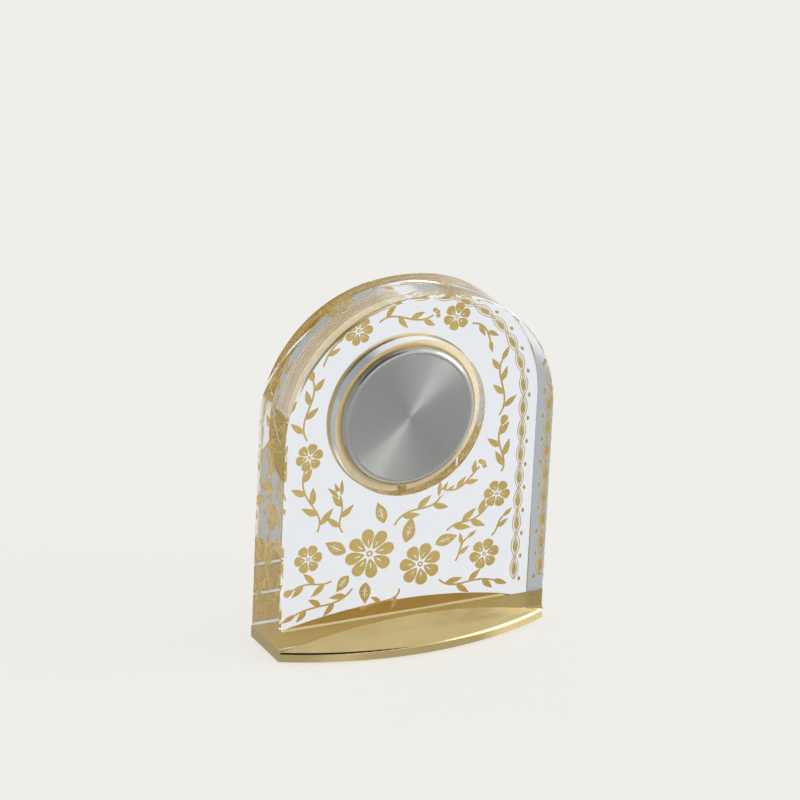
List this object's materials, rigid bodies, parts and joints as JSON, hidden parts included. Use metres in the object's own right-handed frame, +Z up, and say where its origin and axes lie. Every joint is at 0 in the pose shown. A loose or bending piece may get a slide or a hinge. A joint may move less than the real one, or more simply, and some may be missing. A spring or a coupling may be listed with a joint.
{
  "type": "arched crystal table clock",
  "caption": "Arched clear glass table clock on a bowed gilt base, gold floral print on the glass, round quartz clock set in its front.",
  "frame": {"origin": "centre of the pad's underside, on the surface that the clock stands on", "axes": "+Z up, the dial faces -Y, +X to the right of a person looking at the dial"},
  "size_m": [0.1, 0.0446, 0.1256],
  "materials": {
    "gilt_base": null,
    "felt": "dark short felt",
    "crystal": "clear polished optical glass",
    "print": "clear transfer film with a matte gold print",
    "gilt_case": "polished gilt",
    "lens_glass": "flat mineral lens",
    "gasket": "soft white nylon",
    "dial_white": "satin ivory white",
    "gilt_marks": "polished gilt",
    "seconds_dark": "satin black",
    "spun_steel": "circular brushed with a polished shoulder",
    "clear_silicone": "clear soft silicone",
    "plate_brass": "fine matte",
    "spacer_plastic": "moulded white",
    "bright_steel": "bright steel",
    "wheel_brass": "bright brass",
    "magnet": "dark sintered magnet with a steel arbor",
    "soft_iron": "soft iron",
    "copper": "enamelled copper wire",
    "board_green": "green circuit laminate",
    "bright_can": "bright nickel plate"
  },
  "bodies": {
    "base": {"base_casting": "gilt_base", "base_pad": "felt", "glass_block": "crystal", "print_film": "print"},
    "clock": {"bezel": "gilt_case", "lens": "lens_glass", "lens_gasket": "gasket", "rehaut": "gilt_case", "dial": "dial_white", "hour_marker_01": "gilt_marks", "hour_marker_02": "gilt_marks", "hour_marker_03": "gilt_marks", "hour_marker_04": "gilt_marks", "hour_marker_05": "gilt_marks", "hour_marker_06": "gilt_marks", "hour_marker_07": "gilt_marks", "hour_marker_08": "gilt_marks", "hour_marker_09": "gilt_marks", "hour_marker_10": "gilt_marks", "hour_marker_11": "gilt_marks", "hour_marker_12": "gilt_marks", "dial_spacer": "spacer_plastic", "main_plate": "plate_brass", "train_bridge": "plate_brass", "bridge_screw_1": "bright_steel", "bridge_screw_2": "bright_steel", "bridge_screw_3": "bright_steel", "stator": "soft_iron", "coil_core": "soft_iron", "coil": "copper", "circuit_board": "board_green", "crystal_can": "bright_can", "battery": "bright_can", "battery_clip": "bright_steel", "case_drum": "gilt_case", "case_back": "spun_steel", "back_gasket": "gasket", "grip_ring": "clear_silicone"},
    "seconds": {"seconds_wheel": "wheel_brass", "second_hand": "seconds_dark"},
    "third": {"third_wheel": "wheel_brass"},
    "centre": {"centre_wheel": "wheel_brass"},
    "intermediate": {"intermediate_wheel": "wheel_brass"},
    "motor": {"rotor": "magnet"},
    "minutes": {"cannon_pinion": "wheel_brass", "minute_hand": "gilt_marks"},
    "motion": {"minute_wheel": "wheel_brass"},
    "hours": {"hour_wheel": "wheel_brass", "hour_hand": "gilt_marks"},
    "setter": {"setting_wheel": "wheel_brass"},
    "detent": {"pull_piece": "bright_steel"},
    "winder": {"stem": "bright_steel", "crown": "gilt_case"}
  },
  "joints": [
    {"name": "clock_pull", "type": "slide", "parent": "base", "child": "clock", "axis": [0, -1, 0], "range_m": [0, 0.03]},
    {"name": "seconds_turn", "type": "hinge", "parent": "clock", "child": "seconds", "pos_m": [0, -0.0054, 0.0788], "axis": [0, 1, 0], "continuous": true},
    {"name": "third_turn", "type": "hinge", "parent": "clock", "child": "third", "pos_m": [0.00541, -0.00585, 0.08077], "axis": [0, 1, 0], "continuous": true},
    {"name": "centre_turn", "type": "hinge", "parent": "clock", "child": "centre", "pos_m": [0, -0.0063, 0.0788], "axis": [0, 1, 0], "continuous": true},
    {"name": "intermediate_turn", "type": "hinge", "parent": "clock", "child": "intermediate", "pos_m": [-0.00541, -0.00585, 0.08077], "axis": [0, 1, 0], "continuous": true},
    {"name": "rotor_turn", "type": "hinge", "parent": "clock", "child": "motor", "pos_m": [-0.00857, -0.00585, 0.07962], "axis": [0, 1, 0], "continuous": true},
    {"name": "minute_turn", "type": "hinge", "parent": "clock", "child": "minutes", "pos_m": [0, -0.00725, 0.0788], "axis": [0, 1, 0], "continuous": true},
    {"name": "motion_turn", "type": "hinge", "parent": "clock", "child": "motion", "pos_m": [-0.00137, -0.00725, 0.07504], "axis": [0, 1, 0], "continuous": true},
    {"name": "hour_turn", "type": "hinge", "parent": "clock", "child": "hours", "pos_m": [0, -0.0077, 0.0788], "axis": [0, 1, 0], "continuous": true},
    {"name": "setting_turn", "type": "hinge", "parent": "clock", "child": "setter", "pos_m": [0.00003, -0.00725, 0.06983], "axis": [0, 1, 0], "continuous": true},
    {"name": "crown_pull", "type": "slide", "parent": "clock", "child": "detent", "axis": [0, 0, -1], "range_m": [0, 0.001]},
    {"name": "crown_turn", "type": "hinge", "parent": "detent", "child": "winder", "pos_m": [0, -0.00775, 0.0528], "axis": [0, 0, -1], "continuous": true}
  ],
  "couplings": [
    {"joint": "third_turn", "follows": "seconds_turn", "ratio": -0.13333},
    {"joint": "centre_turn", "follows": "seconds_turn", "ratio": 0.016667},
    {"joint": "intermediate_turn", "follows": "seconds_turn", "ratio": -5},
    {"joint": "rotor_turn", "follows": "seconds_turn", "ratio": 30},
    {"joint": "motion_turn", "follows": "minute_turn", "ratio": -0.33333},
    {"joint": "hour_turn", "follows": "minute_turn", "ratio": 0.083333},
    {"joint": "setting_turn", "follows": "minute_turn", "ratio": 0.41667}
  ]
}
